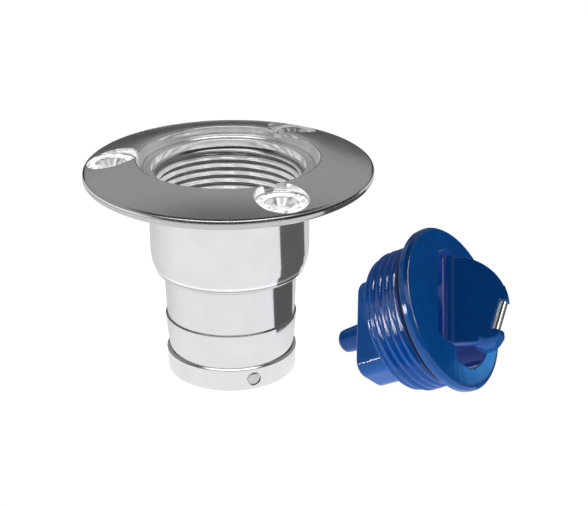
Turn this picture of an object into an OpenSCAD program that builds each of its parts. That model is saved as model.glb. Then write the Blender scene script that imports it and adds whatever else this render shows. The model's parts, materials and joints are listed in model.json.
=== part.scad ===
// Screw-in deck filler: domed round flange with a threaded neck and a hose tail,
// and its screw cap with a fold-away handle, laid on its side next to the filler.
// Origin: bore axis at the flange underside, the face that sits on the deck. +Z is up.

/* [Flange] */
// Outside diameter of the flange
flange_d = 89; // [84:0.5:95]
// Height of the flange rim above the deck face
rim_h = 3.6; // [3:0.1:4.5]
// Height of the dome at the edge of the opening
dome_h = 7.1; // [6.4:0.1:8]
// Diameter of the opening at the top of the dome
opening_d = 57; // [56:0.5:58]
// Diameter of the recess that takes the cap head
recess_d = 55.6; // [55:0.2:56]
// Height of the ledge the cap seals on
ledge_h = 4.1; // [3.8:0.1:4.4]

/* [Flange screws] */
// Number of screw holes
screw_count = 3; // [3:1:6]
// Diameter of the screw circle
screw_pcd = 71.5; // [70:0.5:73]
// Diameter of a screw hole
screw_hole_d = 5.5; // [4.5:0.1:6.5]
// Diameter of the flat pocket around a screw
screw_pocket_d = 16.2; // [16:0.1:16.4]

/* [Neck and thread] */
// Outside diameter of the neck
neck_d = 49.3; // [49:0.1:50]
// Depth of the neck below the deck face
neck_depth = 30; // [28:0.5:34]
// Diameter of the smooth lead above the thread
lead_d = 47.2; // [46.8:0.1:47.4]
// Largest diameter of the internal thread
thread_major_d = 45.6; // [45.4:0.1:46]
// Smallest diameter of the internal thread
thread_minor_d = 42.8; // [42.6:0.1:43]
// Thread pitch
pitch = 2.54; // [2.2:0.02:2.8]

/* [Hose tail] */
// Diameter of the water way
bore_d = 36; // [34:0.5:37]
// Length of the hose tail below the neck
tail_len = 33.4; // [31:0.2:36]
// Diameter over the barbs
barb_d = 41.1; // [40.8:0.1:41.4]
// Diameter of the anchor pin across the tail
anchor_d = 4.1; // [3.5:0.1:4.5]

/* [Cap] */
// Diameter of the cap head
head_d = 51.6; // [51:0.2:54]
// Thickness of the cap head
head_t = 3.4; // [3.2:0.1:3.8]
// Largest diameter of the cap thread
plug_major_d = 44.5; // [44.2:0.1:45]
// Smallest diameter of the cap thread
plug_minor_d = 41.8; // [41.6:0.1:42]
// Depth of the plug below the face
plug_depth = 19; // [18:0.5:20]
// Depth of the deep well's bottom below the face
boss_depth = 29.5; // [27:0.5:30]
// Diameter of the round side of the handle tray
pocket_d = 38.7; // [38.6:0.1:39]

/* [Handle] */
// How far the handle stands open from flush
handle_open = 61; // [0:1:90]
// Radius of the handle plate
handle_r = 18.3; // [18:0.1:18.8]
// Thickness of the handle plate
handle_t = 2.4; // [2:0.1:2.8]
// Diameter of the hinge pin
hinge_d = 2.4; // [2:0.1:2.6]
// Diameter of the grip bar
bar_d = 2.4; // [2:0.1:2.6]

/* [Layout of the loose cap] */
// Distance of the cap face from the filler axis, along X
cap_x = 67.4; // [60:0.1:75]
// Distance of the cap face from the filler axis, along Y
cap_y = 22.4; // [20:0.1:40]
// Tilt of the cap axis above level
cap_tilt = 27.9; // [20:0.1:35]
// Heading of the cap axis
cap_heading = 5.9; // [-20:0.1:40]
// Roll of the cap about its own axis
cap_roll = -46.6; // [-180:0.1:180]

/* [Hidden] */
$fn = 96;
steel = [0.78, 0.79, 0.80];
steel_dark = [0.62, 0.63, 0.65];
blue = [0.07, 0.26, 0.62];
blue_dark = [0.04, 0.16, 0.42];
black = [0.06, 0.06, 0.08];

play = 0.05;  // radial clearance where parts turn
fit = 0.04;   // added to the diameter of a hole that holds a pin or bar

// filler
flange_r = flange_d / 2;
neck_r = neck_d / 2;
neck_z = -neck_depth;
major_r = thread_major_d / 2;
minor_r = thread_minor_d / 2;
bore_r = bore_d / 2;
socket_r = 19.9;              // socket in the neck that takes the tail
tail_r = 20.2;                // plain lower end of the tail
floor_z = neck_z - tail_len;  // level the tail stands on
anchor_z = floor_z + 3.9;
anchor_angle = -35.5;

// cap, in its own frame
head_r = head_d / 2;
head_edge = 2.6;              // depth of the lower edge of the head's side
plug_r = plug_minor_d / 2;
crest_depth = 16.5;           // depth of the lowest thread crest
groove_r = 21.8;              // plain band under the head, inside the seal
hinge_z = -2;
pin_len = 44.8;
tray_depth = 15;              // room for the handle's corner lug
tray_back = -9;               // y of the tray's edge behind the hinge
ear_x = 12.5;                 // face of the ear that carries the pin
well_w = 31;                  // deep well: width, middle in x, and its two sides in y
well_x = 0.8;
well_y0 = -8.8;
well_y1 = 4.6;
well_corner = 4;
well_wall = 1.8;
well_floor = 2.2;
stud_r = 2.55;                // stud where it passes through the well floor
cap_z = floor_z + max(head_r * cos(cap_tilt) + head_edge * sin(cap_tilt),
                      plug_major_d / 2 * cos(cap_tilt) + crest_depth * sin(cap_tilt));

// handle, in its own frame
plate_top = 1.3;
handle_right = ear_x - 0.3;
bar_len = 15.1;
bar_angle = -15.6;

// ---- frames
// cap frame: face at z = 0, axis along Z, handle hinge along X
module place_cap() {
    translate([cap_x, cap_y, cap_z])
        rotate([0, 0, cap_heading])
            rotate([0, 90 - cap_tilt, 0])
                rotate([0, 0, cap_roll])
                    children();
}

// handle frame: hinge line along X, plate lying flush towards +Y
module place_handle() {
    place_cap() translate([0, 0, hinge_z]) rotate([handle_open, 0, 0]) children();
}

// frame of the grip bar, in the handle's frame: bar along X
module place_grip() {
    translate([3.8, 15.05, -0.6]) rotate([0, 0, bar_angle]) children();
}

// ---- shared shapes
// rod along X, centred on the origin
module x_rod(d, length) {
    rotate([0, 90, 0]) cylinder(d = d, h = length, center = true);
}

// thread built as separate rings, stacked down from z_top; their section tapers
// from root_r to crest_r, and is sunk into the wall as far as buried_r
module thread_rings(buried_r, root_r, crest_r, z_top, count) {
    root_half = 0.42 * pitch;
    crest_half = 0.07 * pitch;
    for (i = [0 : count - 1])
        translate([0, 0, z_top - (i + 0.5) * pitch])
            rotate_extrude()
                polygon([
                    [buried_r, -root_half], [root_r, -root_half], [crest_r, -crest_half],
                    [crest_r, crest_half], [root_r, root_half], [buried_r, root_half]
                ]);
}

// ---- flange, neck and internal thread
// section as [radius, z]
module flange_section() {
    dome_rise = dome_h - rim_h;
    polygon([
        // underside and rounded rim
        [neck_r, 0], [flange_r - 1.3, 0], [flange_r - 0.5, 0.5], [flange_r - 0.1, 1.4],
        [flange_r, 2.4], [flange_r - 0.1, 3.1], [flange_r - 0.55, rim_h],
        // shallow dome
        [flange_r - 5.5, rim_h + 0.34 * dome_rise],
        [flange_r - 10.5, rim_h + 0.67 * dome_rise],
        [opening_d / 2 + 0.25, dome_h - 0.05], [opening_d / 2 - 0.2, dome_h - 0.3],
        // recess for the cap head, and the ledge with its shallow ring
        [recess_d / 2, ledge_h], [26.2, ledge_h], [26.0, ledge_h - 0.3],
        [25.2, ledge_h - 0.3], [25.0, ledge_h],
        [lead_d / 2 + 0.4, ledge_h], [lead_d / 2, ledge_h - 0.4],
        // smooth lead, thread root and the neck's bore
        [lead_d / 2, 1.6], [major_r, 1.2], [major_r, -13],
        [minor_r, -13.8], [minor_r, neck_z + 5.8],
        [socket_r, neck_z + 4], [socket_r, neck_z],
        // rounded bottom of the neck
        [22.1, neck_z], [22.9, neck_z + 0.5], [23.8, neck_z + 2.6],
        [24.4, neck_z + 4.4], [neck_r, neck_z + 6.6]
    ]);
}

// flat pocket, through hole and 45 degree countersink
module screw_cut() {
    countersink = 2.1;
    hole_r = screw_hole_d / 2;
    translate([0, 0, ledge_h - 0.1]) cylinder(d = screw_pocket_d, h = 10);
    translate([0, 0, -1]) cylinder(d = screw_hole_d, h = 10);
    translate([0, 0, ledge_h - countersink])
        cylinder(r1 = hole_r, r2 = hole_r + countersink, h = countersink);
}

module flange_body() {
    color(steel) difference() {
        rotate_extrude() flange_section();
        for (i = [0 : screw_count - 1])
            rotate([0, 0, 90 + i * 360 / screw_count])
                translate([screw_pcd / 2, 0, 0])
                    screw_cut();
    }
    color(steel_dark) thread_rings(major_r + 0.5, major_r, minor_r, z_top = -0.4, count = 5);
}

// ---- barbed hose tail, let into the bottom of the neck
module place_anchor() {
    translate([0, 0, anchor_z]) rotate([0, 0, anchor_angle]) children();
}

module hose_tail() {
    color(steel) difference() {
        // section as [radius, z]
        rotate_extrude()
            polygon([
                // end inside the socket, and the shoulder under the neck
                [bore_r, neck_z + 3.6], [socket_r - 0.5, neck_z + 3.6],
                [socket_r, neck_z + 3.1], [socket_r, neck_z], [20.6, neck_z],
                // two barbs
                [20.35, neck_z - 7], [20.0, neck_z - 14.3], [barb_d / 2, neck_z - 14.5],
                [20.1, neck_z - 19.5], [19.5, neck_z - 25.8],
                [barb_d / 2 - 0.1, neck_z - 26.0], [tail_r, neck_z - 28.5],
                // rounded lower end
                [tail_r, floor_z + 1.6], [19.7, floor_z + 0.4], [19.0, floor_z],
                [bore_r + 0.5, floor_z], [bore_r, floor_z + 0.5]
            ]);
        place_anchor() x_rod(anchor_d + fit, 60);
    }
}

// ---- pin across the lower end of the tail, its ends flush with the outside
module anchor_pin() {
    color(steel_dark) intersection() {
        place_anchor() x_rod(anchor_d, 60);
        translate([0, 0, floor_z]) cylinder(r = tail_r, h = 8);
    }
}

// ---- cap moulding: head, threaded plug, and the pocket the handle folds into
// part of the tray's round outline, beyond y_min and between two x limits
module tray_part(x_min, x_max, y_min) {
    intersection() {
        circle(r = pocket_d / 2);
        translate([x_min, y_min]) square([x_max - x_min, 60]);
    }
}

// outline of the handle tray: round on the handle's side, flatter behind
// the hinge, and stopped short by the ear that carries one end of the pin
module tray_2d() {
    left = -18.3;
    corner_x = -13;
    corner_r = 5;
    corner_y = tray_back + corner_r;
    tray_part(left, 17.3, 1);
    tray_part(left, ear_x, corner_y);
    tray_part(corner_x, ear_x, tray_back);
    translate([corner_x, corner_y]) circle(r = corner_r);
}

// outline of the deep well, a rounded rectangle grown all round
module well_2d(grow) {
    left = well_x - well_w / 2;
    length = well_y1 - well_y0;
    translate([left - grow, well_y0 + well_corner])
        square([well_w + 2 * grow, length - 2 * well_corner]);
    translate([left + well_corner, well_y0 - grow])
        square([well_w - 2 * well_corner, length + 2 * grow]);
    for (side = [-1, 1], y = [well_y0 + well_corner, well_y1 - well_corner])
        translate([well_x + side * (well_w / 2 - well_corner), y])
            circle(r = well_corner + grow);
}

module cap_solid() {
    rings_top = -4.9;
    rings_bottom = -17.7;
    // head and plug section as [radius, z]
    rotate_extrude()
        polygon([
            [0, 0], [head_r - 1.4, 0], [head_r - 0.5, -0.3], [head_r, -1.0],
            [head_r, -head_edge], [head_r - 0.9, -head_t],
            [groove_r, -head_t], [groove_r, -5.7], [plug_r, -6.2],
            [plug_r, -plug_depth + 0.8], [plug_r - 0.8, -plug_depth], [0, -plug_depth]
        ]);
    thread_rings(plug_r - 0.6, plug_r, plug_major_d / 2, rings_top,
                 count = floor((rings_top - rings_bottom) / pitch));
    // outside of the deep well, stepped in at the bottom
    translate([0, 0, -boss_depth + 1.4]) linear_extrude(boss_depth - 6) well_2d(well_wall);
    translate([0, 0, -boss_depth]) linear_extrude(3) well_2d(well_wall / 2);
}

module cap_body() {
    color(blue) place_cap() difference() {
        union() cap_solid();
        // handle pocket: tray, then the deep well below it
        translate([0, 0, -tray_depth]) linear_extrude(tray_depth + 1) tray_2d();
        translate([0, 0, -boss_depth + well_floor])
            linear_extrude(boss_depth - well_floor - tray_depth + 0.01) well_2d(0);
        // hollow behind the pocket, open at the bottom of the plug
        translate([0, 0, -plug_depth - 1]) linear_extrude(plug_depth - 5) difference() {
            circle(r = 18.9);
            well_2d(well_wall);
            translate([-40, tray_back - 0.5]) square([80, 60]);
        }
        translate([0, 0, hinge_z]) x_rod(hinge_d + fit, pin_len + 0.4);
        // hole for the swivel stud
        translate([0, 0, -boss_depth - 1]) cylinder(r = stud_r + play, h = 6);
    }
}

// ---- seal ring under the cap head
module cap_seal() {
    ring_r = 1.1;
    color(black) place_cap() translate([0, 0, -head_t - ring_r - 0.03])
        rotate_extrude() translate([groove_r + ring_r + 0.02, 0]) circle(r = ring_r, $fn = 32);
}

// ---- stud that snaps into the bottom of the pocket and turns there
module swivel_stud() {
    gap = 0.06;  // end play above and below the well floor
    shoulder_z = -boss_depth - gap;
    catch_z = -boss_depth + well_floor + gap;
    // section as [radius, z]
    color(blue_dark) place_cap() rotate_extrude()
        polygon([
            [0, -42.6], [2.4, -42.4], [3.3, -41.6], [3.75, -40.2],
            [4.4, -boss_depth - 1.0], [4.4, shoulder_z],
            [stud_r, shoulder_z], [stud_r, catch_z], [3.3, catch_z],
            [3.3, -boss_depth + 2.9], [2.4, -boss_depth + 4.2], [0, -boss_depth + 4.2]
        ]);
}

// ---- folding handle: a half-round plate with a deep lug at one corner
// discs of the lug's outlines: [x, y, radius]
collar_discs = [[10.3, 10.8, 2.6], [10.0, 13.2, 2.5], [8.6, 14.4, 2.4]];
stem_discs = [[9.6, 10.4, 2.1], [9.2, 11.8, 2.1], [7.6, 13.3, 1.9]];

module discs(table) {
    for (disc = table)
        translate([disc[0], disc[1]]) circle(r = disc[2]);
}

module plate_2d() {
    left = -17.6;
    difference() {
        intersection() {
            circle(r = handle_r);
            translate([left, 0]) square([handle_right - left, 30]);
        }
        // notch that the bar crosses, parallel to the bar
        translate([9.9, 12.0]) rotate([0, 0, 180 + bar_angle])
            translate([0.9, -30]) square([11.6, 30]);
    }
}

// a collar at the plate, and a slimmer stem that reaches down into the pocket
// when the handle is folded
module corner_lug() {
    translate([0, 0, -5]) linear_extrude(6.5) intersection() {
        circle(r = handle_r + 0.2);
        union() {
            discs(collar_discs);
            translate([9.0, 7.6]) square([3.2, 5.4]);
        }
    }
    translate([0, 0, -8.4]) linear_extrude(4) discs(stem_discs);
}

module handle_plate() {
    knuckle_left = -18.1;
    rim_z = -2.6;
    color(blue) place_handle() difference() {
        union() {
            // knuckle on the hinge
            translate([knuckle_left, 0, 0]) rotate([0, 90, 0])
                cylinder(r = 2.0, h = handle_right - knuckle_left);
            translate([0, 0, plate_top - handle_t]) linear_extrude(handle_t) plate_2d();
            // thicker rim at the end of the notch
            translate([0, 0, rim_z]) linear_extrude(plate_top - rim_z) intersection() {
                circle(r = handle_r);
                translate([-7.5, 14.6]) square([5.4, 6]);
            }
            corner_lug();
        }
        x_rod(hinge_d + 2 * play, 40);
        place_grip() x_rod(bar_d + fit, bar_len + 0.2);
    }
}

// ---- hinge pin across the pocket
module hinge_pin() {
    color(steel) place_cap() translate([0, 0, hinge_z]) x_rod(hinge_d, pin_len);
}

// ---- metal bar across the notch in the handle's rim
module grip_bar() {
    color(steel) place_handle() place_grip() x_rod(bar_d, bar_len);
}

flange_body();
hose_tail();
anchor_pin();
cap_body();
cap_seal();
swivel_stud();
handle_plate();
hinge_pin();
grip_bar();
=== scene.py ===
"""A polished steel filler flange standing on its hose tail, with its blue screw cap beside it.

World: metres, +Z up, filler axis on Z. Profiles and outlines are in mm, in one of three frames:
  filler  the world axes
  cap     X along the handle's hinge, Z out of the cap's face, origin on the face
  handle  origin on the hinge, turned about X by the opening angle
"""
import bpy
import bmesh
import json
import math
import numpy as np
from mathutils import Vector, Matrix


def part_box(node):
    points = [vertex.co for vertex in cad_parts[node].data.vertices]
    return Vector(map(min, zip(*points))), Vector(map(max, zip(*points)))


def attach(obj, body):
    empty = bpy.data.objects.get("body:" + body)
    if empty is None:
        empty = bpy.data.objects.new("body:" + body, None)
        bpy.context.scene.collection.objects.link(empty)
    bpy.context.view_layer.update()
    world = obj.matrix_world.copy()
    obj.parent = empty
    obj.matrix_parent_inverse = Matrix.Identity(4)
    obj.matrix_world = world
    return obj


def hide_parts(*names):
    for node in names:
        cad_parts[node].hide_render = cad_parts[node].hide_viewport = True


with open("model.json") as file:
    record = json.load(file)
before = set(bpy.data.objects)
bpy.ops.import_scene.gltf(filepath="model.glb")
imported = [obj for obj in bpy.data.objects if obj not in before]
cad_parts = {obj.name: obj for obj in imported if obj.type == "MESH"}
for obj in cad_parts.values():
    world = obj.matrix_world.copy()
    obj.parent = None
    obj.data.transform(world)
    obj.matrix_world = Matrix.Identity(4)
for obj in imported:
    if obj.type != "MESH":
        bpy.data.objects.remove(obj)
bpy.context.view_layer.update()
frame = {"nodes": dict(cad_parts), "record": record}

scene = bpy.context.scene
PI = math.pi

# ------------------------------------------------------------------ frames


def basis(x_axis, y_axis, z_axis, origin):
    matrix = Matrix.Identity(4)
    for column, vector in enumerate((x_axis, y_axis, z_axis, origin)):
        for row in range(3):
            matrix[row][column] = vector[row]
    return matrix


def box_mm(node):
    return [corner * 1000.0 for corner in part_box(node)]


joints = {joint["name"]: joint for joint in frame["record"]["behaviour"]["joints"]}
cap_axis = Vector(joints["cap_turn"]["axis"]).normalized()
hinge_axis = Vector(joints["handle_fold"]["axis"]).normalized()
hinge_axis = (hinge_axis - cap_axis * hinge_axis.dot(cap_axis)).normalized()
cross_axis = cap_axis.cross(hinge_axis)
cap_origin = Vector(joints["cap_turn"]["pos_m"])
hinge_origin = Vector(joints["handle_fold"]["pos_m"])
open_angle = math.radians(-joints["handle_fold"]["range_deg"][0])

MM = Matrix.Scale(0.001, 4)
FILLER_FRAME = MM
CAP_FRAME = basis(hinge_axis, cross_axis, cap_axis, cap_origin) @ MM
HANDLE_FRAME = (basis(hinge_axis, cross_axis, cap_axis, hinge_origin)
                @ Matrix.Rotation(open_angle, 4, "X") @ MM)

# ------------------------------------------------------------------ driving sizes, mm
flange_low, flange_high = box_mm("flange_body")
pin_low, pin_high = box_mm("anchor_pin")
FLANGE_R = (flange_high.x - flange_low.x) / 2
FLANGE_TOP = flange_high.z
NECK_END = flange_low.z                 # lower end of the neck, where the tail comes out
TAIL_END = box_mm("hose_tail")[0].z
HINGE_Z = (hinge_origin - cap_origin).dot(cap_axis) * 1000.0    # in the cap frame
PIN_Z = (pin_low.z + pin_high.z) / 2
PIN_ANGLE = math.radians(-35.5)

THREAD_PITCH = 2.54
BORE_MAJOR_R, BORE_MINOR_R = 22.8, 21.4
BORE_THREAD_TOP, BORE_THREAD_BOTTOM = 1.2, -13.9
LEAD_IN_R = 23.6
NECK_R = 24.65
POCKET_ORBIT = 35.75                    # circle of the three screw pockets
POCKET_ANGLES = [math.radians(90 + k * 120) for k in range(3)]

CAP_R = 25.8
PLUG_MINOR_R, PLUG_MAJOR_R = 20.9, 22.25
PLUG_THREAD_TOP, PLUG_THREAD_BOTTOM = -4.9, -17.5
TRAY_R = 19.3
HANDLE_R = 18.1
ROD_R = 1.2                             # hinge pin and grip bar

# placings of rods, which are built along Z
ALONG_X = Matrix.Rotation(PI / 2, 4, "Y")
PIN_PLACE = Matrix.Translation((0, 0, PIN_Z)) @ Matrix.Rotation(PIN_ANGLE, 4, "Z") @ ALONG_X
HINGE_PLACE = Matrix.Translation((0, 0, HINGE_Z)) @ ALONG_X
GRIP_PLACE = (Matrix.Translation((3.8, 15.05, -0.6))
              @ Matrix.Rotation(math.radians(-15.6), 4, "Z") @ ALONG_X)


# ------------------------------------------------------------------ outlines
def fillet(points, steps=6):
    """Rounds the corners of an open run of (r, z, corner radius)."""
    run = []
    for i, (x, y, radius) in enumerate(points):
        corner = np.array((x, y), float)
        if radius <= 0 or i in (0, len(points) - 1):
            run.append(tuple(corner))
            continue
        back = np.array(points[i - 1][:2], float) - corner
        ahead = np.array(points[i + 1][:2], float) - corner
        back_length, ahead_length = np.linalg.norm(back), np.linalg.norm(ahead)
        back, ahead = back / back_length, ahead / ahead_length
        half = math.acos(float(np.clip(back @ ahead, -1, 1))) / 2
        if half > PI / 2 - 0.02:                         # nearly straight
            run.append(tuple(corner))
            continue
        trim = min(radius / math.tan(half), 0.46 * back_length, 0.46 * ahead_length)
        radius = trim * math.tan(half)
        middle = (back + ahead) / np.linalg.norm(back + ahead)
        centre = corner + middle * (radius / math.sin(half))
        first = math.atan2(*(corner + back * trim - centre)[::-1])
        last = math.atan2(*(corner + ahead * trim - centre)[::-1])
        sweep = (last - first + PI) % (2 * PI) - PI
        for k in range(steps + 1):
            angle = first + sweep * k / steps
            run.append((centre[0] + radius * math.cos(angle),
                        centre[1] + radius * math.sin(angle)))
    return run


def subdivide(points, step, closed=False):
    """Splits the long straight stretches of a profile."""
    run = []
    count = len(points)
    for i in range(count if closed else count - 1):
        start, end = np.array(points[i]), np.array(points[(i + 1) % count])
        pieces = max(1, int(math.ceil(np.linalg.norm(end - start) / step)))
        for j in range(pieces):
            run.append(tuple(start + (end - start) * j / pieces))
    if not closed:
        run.append(tuple(points[-1]))
    return run


def arc(cx, cy, radius, start, end, steps):
    """Points on an arc; angles in degrees."""
    angles = [math.radians(start + (end - start) * k / steps) for k in range(steps + 1)]
    return [(cx + radius * math.cos(angle), cy + radius * math.sin(angle)) for angle in angles]


def find_outline(inside, centre, count=72, reach=12.0, halvings=24, easing=5):
    """Outline of a region, found by walking outwards from a centre, with its joints eased."""
    points = []
    for k in range(count):
        angle = 2 * PI * k / count
        dx, dy = math.cos(angle), math.sin(angle)
        near, far = 0.0, reach
        for _ in range(halvings):
            middle = (near + far) / 2
            if inside(centre[0] + dx * middle, centre[1] + dy * middle):
                near = middle
            else:
                far = middle
        points.append((centre[0] + dx * near, centre[1] + dy * near))
    points = np.array(points)
    for _ in range(easing):
        points = 0.5 * points + 0.25 * (np.roll(points, 1, 0) + np.roll(points, -1, 0))
    return points


def inset(outline, amount):
    """Moves a closed counter-clockwise outline inwards along its corner normals."""
    points = np.array(outline, float)

    def edge_normals(edge):
        normals = np.stack([-edge[:, 1], edge[:, 0]], -1)
        return normals / (np.linalg.norm(normals, axis=1)[:, None] + 1e-12)

    middle = (edge_normals(points - np.roll(points, 1, 0))
              + edge_normals(np.roll(points, -1, 0) - points))
    middle /= np.maximum((middle * middle).sum(1), 0.5)[:, None]
    return [tuple(point) for point in points + 2 * middle * amount]


# ------------------------------------------------------------------ mesh tools
def new_object(name, verts, faces):
    mesh = bpy.data.meshes.new(name)
    mesh.from_pydata([tuple(v) for v in verts], [], faces)
    mesh.update()
    obj = bpy.data.objects.new(name, mesh)
    scene.collection.objects.link(obj)
    return obj


def solid(name, verts, faces):
    """A closed mesh with its normals turned outward."""
    obj = new_object(name, verts, faces)
    bm = bmesh.new()
    bm.from_mesh(obj.data)
    bmesh.ops.recalc_face_normals(bm, faces=bm.faces)
    bm.to_mesh(obj.data)
    bm.free()
    obj.data.update()
    return obj


def lathe(name, profile, segments, radius_at=None, closed=False):
    """Turns a profile of (r, z) about Z; unless it is closed it starts and ends on the axis."""
    verts, rings = [], []
    for r, z in profile:
        start = len(verts)
        if r < 1e-6:
            verts.append((0, 0, z))
        else:
            for k in range(segments):
                turn = 2 * PI * k / segments
                radius = radius_at(r, z, turn) if radius_at else r
                verts.append((radius * math.cos(turn), radius * math.sin(turn), z))
        rings.append(range(start, len(verts)))
    faces = []
    count = len(rings)
    for i in range(count if closed else count - 1):
        a, b = rings[i], rings[(i + 1) % count]
        for k in range(segments):
            following = (k + 1) % segments
            if len(a) == 1:
                faces.append((a[0], b[following], b[k]))
            elif len(b) == 1:
                faces.append((a[k], a[following], b[0]))
            else:
                faces.append((a[k], a[following], b[following], b[k]))
    return solid(name, verts, faces)


def loft(name, layers):
    """Closes a stack of (outline, z)."""
    verts, faces = [], []
    n = len(layers[0][0])
    for outline, z in layers:
        verts += [(x, y, z) for x, y in outline]
    for i in range(len(layers) - 1):
        for k in range(n):
            following = (k + 1) % n
            faces.append((i * n + k, i * n + following,
                          (i + 1) * n + following, (i + 1) * n + k))
    faces.append(tuple(reversed(range(n))))
    faces.append(tuple(range((len(layers) - 1) * n, len(layers) * n)))
    return solid(name, verts, faces)


def rod(name, radius, z0, z1, rounding=0.0, segments=48):
    """A turned rod along Z."""
    profile = fillet([(0, z0, 0), (radius, z0, rounding), (radius, z1, rounding), (0, z1, 0)], 5)
    return lathe(name, profile, segments)


def rounded_plate(name, outline, z0, z1, radius, steps=4):
    """A flat plate with rounded upper and lower edges."""
    layers = []
    for k in range(steps + 1):
        angle = (PI / 2) * k / steps
        layers.append((inset(outline, radius * (1 - math.sin(angle))),
                       z0 + radius * (1 - math.cos(angle))))
    for k in range(steps + 1):
        angle = (PI / 2) * (1 - k / steps)
        layers.append((inset(outline, radius * (1 - math.sin(angle))),
                       z1 - radius * (1 - math.cos(angle))))
    return loft(name, layers)


def combine(target, tool, operation, place=None):
    """Applies a boolean to the target and removes the tool."""
    if place is not None:
        tool.data.transform(place)
    modifier = target.modifiers.new("b", "BOOLEAN")
    modifier.operation = operation
    modifier.object = tool
    modifier.solver = "EXACT"
    depsgraph = bpy.context.evaluated_depsgraph_get()
    mesh = bpy.data.meshes.new_from_object(target.evaluated_get(depsgraph))
    target.modifiers.clear()
    target.data = mesh
    bpy.data.objects.remove(tool, do_unlink=True)


def cut(target, tool, place=None):
    combine(target, tool, "DIFFERENCE", place)


def join(target, tool, place=None):
    combine(target, tool, "UNION", place)


def tidy(obj, sharp, weighted, merge=2e-4):
    """Cleans the mesh and shades it smooth, with edges over `sharp` degrees kept sharp."""
    bm = bmesh.new()
    bm.from_mesh(obj.data)
    bmesh.ops.remove_doubles(bm, verts=bm.verts, dist=merge)
    bmesh.ops.dissolve_degenerate(bm, edges=bm.edges, dist=merge)
    loose = [v for v in bm.verts if not v.link_faces]
    bmesh.ops.delete(bm, geom=loose, context="VERTS")
    bmesh.ops.recalc_face_normals(bm, faces=bm.faces)
    bm.to_mesh(obj.data)
    bm.free()
    mesh = obj.data
    mesh.update()
    for polygon in mesh.polygons:
        polygon.use_smooth = True
    mesh.set_sharp_from_angle(angle=math.radians(sharp))
    if weighted:
        modifier = obj.modifiers.new("wn", "WEIGHTED_NORMAL")
        modifier.mode = "FACE_AREA"
        modifier.keep_sharp = True
        modifier.weight = 80


def install(obj, place, node, rides, sharp, weighted=True):
    """Finishes a piece built in mm and puts it in place of its CAD node."""
    tidy(obj, sharp, weighted)
    obj.data.transform(place)
    obj.data.update()
    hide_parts(node)
    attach(obj, rides)
    return obj


# ------------------------------------------------------------------ thread
def unit(value):
    return min(1.0, max(0.0, value))


def thread_height(z, turn, top, bottom, top_fade, bottom_fade):
    """Height 0..1 of a truncated 60 degree form, faded out towards both ends."""
    place = (z / THREAD_PITCH - turn / (2 * PI) + 0.5) % 1.0 - 0.5    # within one pitch
    flank = unit((0.43 - abs(place)) / 0.34)
    eased = flank * flank * (3 - 2 * flank)
    fade = unit((top - z) / top_fade) * unit((z - bottom) / bottom_fade)
    return (0.62 * flank + 0.38 * eased) * fade


def on_thread(r, z, wall, top, bottom):
    return abs(r - wall) < 1e-6 and bottom + 0.01 < z < top - 0.01


def thread_run(wall, top, bottom):
    """Profile points down a threaded wall, sixteen to a pitch."""
    count = int((top - bottom) / (THREAD_PITCH / 16)) + 1
    return [(wall, float(z)) for z in np.linspace(top, bottom, count)]


# ------------------------------------------------------------------ flange
def flange_radius(r, z, turn):
    top, bottom = BORE_THREAD_TOP, BORE_THREAD_BOTTOM
    if not on_thread(r, z, BORE_MAJOR_R, top, bottom):
        return r
    run_out = max(0.0, 1.0 - (z - bottom) / 1.4)         # the bottom runs out into the bore
    height = max(thread_height(z, turn, top, bottom, top_fade=1.6, bottom_fade=1.2), run_out)
    return BORE_MAJOR_R - (BORE_MAJOR_R - BORE_MINOR_R) * height


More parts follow.
